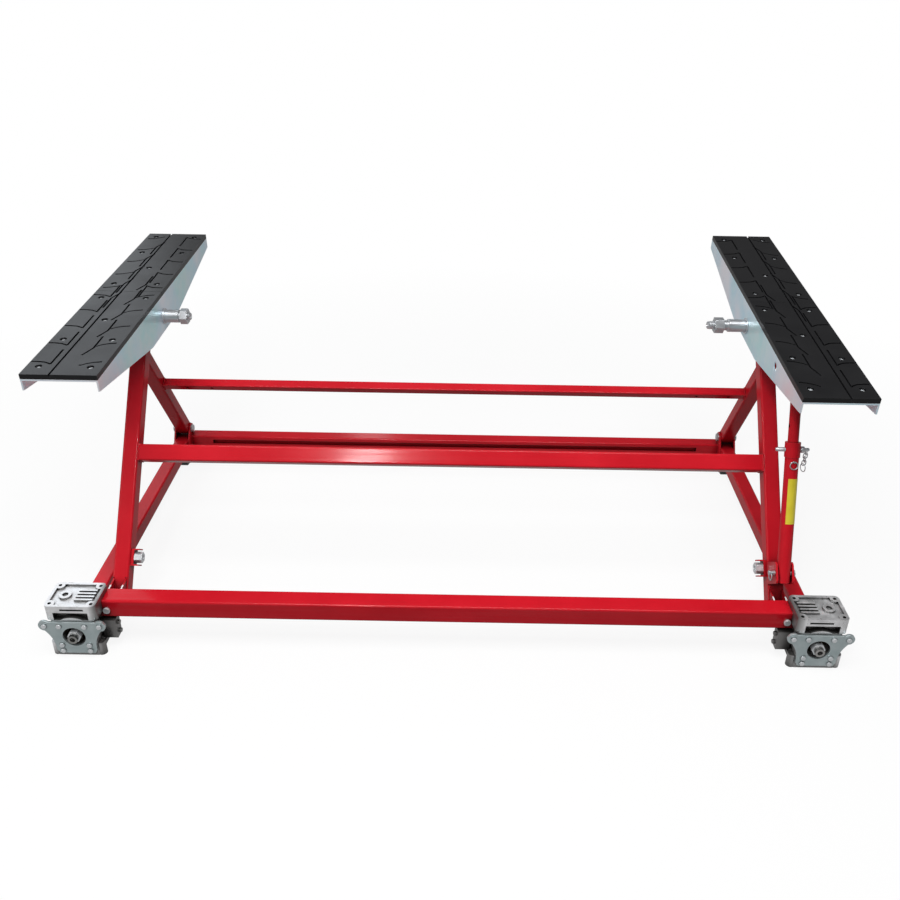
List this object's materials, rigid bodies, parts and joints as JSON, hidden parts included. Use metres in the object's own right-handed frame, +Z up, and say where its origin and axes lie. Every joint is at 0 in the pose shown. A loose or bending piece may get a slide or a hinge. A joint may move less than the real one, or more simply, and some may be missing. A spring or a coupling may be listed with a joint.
{
  "type": "portable car lift",
  "caption": "Portable car lift: hinged leg frames carry tilting tread-topped pads and fold flat as geared lead screws in the front boxes push the rails back; pinned locking strut.",
  "frame": {"origin": "on the floor, at the middle of the outer box", "axes": "+X across the lift to the strut side, +Y from the geared front beam to the rear tube, +Z up"},
  "size_m": [1.598, 0.8858, 0.6163],
  "materials": {
    "red_paint": "glossy powder coat",
    "cast_alloy": "as cast, blasted",
    "zinc_plate": "bright zinc plated sheet",
    "bright_steel": "zinc plated, satin",
    "dark_steel": "oiled",
    "bronze": "machined",
    "tread_rubber": "moulded tread",
    "black_plastic": "moulded"
  },
  "bodies": {
    "base": {"front_beam": "red_paint", "gearbox_left": "cast_alloy", "gearbox_right": "cast_alloy", "front_plate_left": "zinc_plate", "front_plate_right": "zinc_plate", "rear_plate_left": "zinc_plate", "rear_plate_right": "zinc_plate", "plate_screws": "bright_steel", "beam_screws": "bright_steel", "bearing_caps": "black_plastic", "hinge_forks": "zinc_plate", "hinge_pins": "bright_steel"},
    "drive": {"drive_shaft": "dark_steel", "worms": "dark_steel"},
    "screw_left": {"worm_wheel_left": "bronze", "lead_screw_left": "dark_steel", "shaft_nut_left": "bright_steel"},
    "screw_right": {"worm_wheel_right": "bronze", "lead_screw_right": "dark_steel", "shaft_nut_right": "bright_steel"},
    "front_frame": {"front_leg_left": "red_paint", "front_leg_right": "red_paint", "leg_tongues": "dark_steel", "mid_bar": "red_paint", "leg_bolts": "bright_steel", "leg_nuts": "bright_steel", "nut_guards": "red_paint", "strut_lugs": "red_paint", "strut_bolt": "bright_steel", "strut_clip": "bright_steel"},
    "rear_frame": {"rear_leg_left": "red_paint", "rear_leg_right": "red_paint", "upper_bar": "red_paint"},
    "carriage": {"rail_left": "red_paint", "rail_right": "red_paint", "rear_tube": "red_paint", "rail_lugs": "red_paint", "rear_pins": "bright_steel", "roller_axles": "bright_steel", "lead_nuts": "bronze"},
    "left_roller": {"roller_left": "black_plastic"},
    "right_roller": {"roller_right": "black_plastic"},
    "pivot_left": {"pivot_shaft_left": "bright_steel", "pivot_nut_left": "bright_steel", "pivot_spacers_left": "bright_steel"},
    "pivot_right": {"pivot_shaft_right": "bright_steel", "pivot_nut_right": "bright_steel", "pivot_spacers_right": "bright_steel"},
    "pad_left": {"pad_tray_left": "zinc_plate", "pad_rubber_left": "tread_rubber", "pad_screws_left": "bright_steel"},
    "pad_right": {"pad_tray_right": "zinc_plate", "pad_rubber_right": "tread_rubber", "pad_screws_right": "bright_steel"},
    "strut": {"strut_outer": "red_paint", "strut_inner": "red_paint", "chain_loop": "bright_steel"},
    "lock": {"lock_pin": "bright_steel", "lock_chain": "bright_steel"}
  },
  "joints": [
    {"name": "drive_spin", "type": "hinge", "parent": "base", "child": "drive", "pos_m": [0, -0.3749, 0.09], "axis": [1, 0, 0], "continuous": true},
    {"name": "screw_left_spin", "type": "hinge", "parent": "base", "child": "screw_left", "pos_m": [-0.733, -0.3749, 0.05], "axis": [0, 1, 0], "continuous": true},
    {"name": "screw_right_spin", "type": "hinge", "parent": "base", "child": "screw_right", "pos_m": [0.733, -0.3749, 0.05], "axis": [0, 1, 0], "continuous": true},
    {"name": "lift_fold", "type": "hinge", "parent": "base", "child": "front_frame", "pos_m": [0, -0.2966, 0.085], "axis": [1, 0, 0], "range_deg": [-46, 0]},
    {"name": "rear_fold", "type": "hinge", "parent": "front_frame", "child": "rear_frame", "pos_m": [0, 0.0577, 0.5316], "axis": [1, 0, 0], "range_deg": [0, 97]},
    {"name": "carriage_level", "type": "hinge", "parent": "rear_frame", "child": "carriage", "pos_m": [0, 0.36, 0.085], "axis": [1, 0, 0], "range_deg": [-51, 0]},
    {"name": "pivot_left_turn", "type": "hinge", "parent": "front_frame", "child": "pivot_left", "pos_m": [-0.702, 0.0577, 0.5316], "axis": [1, 0, 0], "range_deg": [0, 44.5]},
    {"name": "pivot_right_turn", "type": "hinge", "parent": "front_frame", "child": "pivot_right", "pos_m": [0.709, 0.0577, 0.5316], "axis": [1, 0, 0], "range_deg": [0, 41.5]},
    {"name": "pad_left_tilt", "type": "hinge", "parent": "pivot_left", "child": "pad_left", "pos_m": [-0.702, 0.0577, 0.5316], "axis": [1, 0, 0], "range_deg": [-4, 8]},
    {"name": "pad_right_tilt", "type": "hinge", "parent": "pivot_right", "child": "pad_right", "pos_m": [0.709, 0.0577, 0.5316], "axis": [1, 0, 0], "range_deg": [-4, 8]},
    {"name": "roller_left_roll", "type": "hinge", "parent": "carriage", "child": "left_roller", "pos_m": [-0.733, 0.3101, 0.016], "axis": [1, 0, 0], "continuous": true},
    {"name": "roller_right_roll", "type": "hinge", "parent": "carriage", "child": "right_roller", "pos_m": [0.733, 0.3101, 0.016], "axis": [1, 0, 0], "continuous": true},
    {"name": "strut_swing", "type": "hinge", "parent": "front_frame", "child": "strut", "pos_m": [0.677, -0.3244, 0.1539], "axis": [1, 0, 0], "range_deg": [-24, 0]},
    {"name": "lock_pin_pull", "type": "slide", "parent": "strut", "child": "lock", "axis": [1, 0, 0], "range_m": [0, 0.054]}
  ],
  "couplings": [
    {"joint": "screw_left_spin", "follows": "drive_spin", "ratio": 0.05},
    {"joint": "screw_right_spin", "follows": "drive_spin", "ratio": 0.05},
    {"joint": "rear_fold", "follows": "lift_fold", "ratio": -2.093},
    {"joint": "carriage_level", "follows": "lift_fold", "ratio": 1.093},
    {"joint": "pivot_left_turn", "follows": "lift_fold", "ratio": -0.9598},
    {"joint": "pivot_right_turn", "follows": "lift_fold", "ratio": -0.897},
    {"joint": "strut_swing", "follows": "lift_fold", "ratio": 0.515}
  ]
}
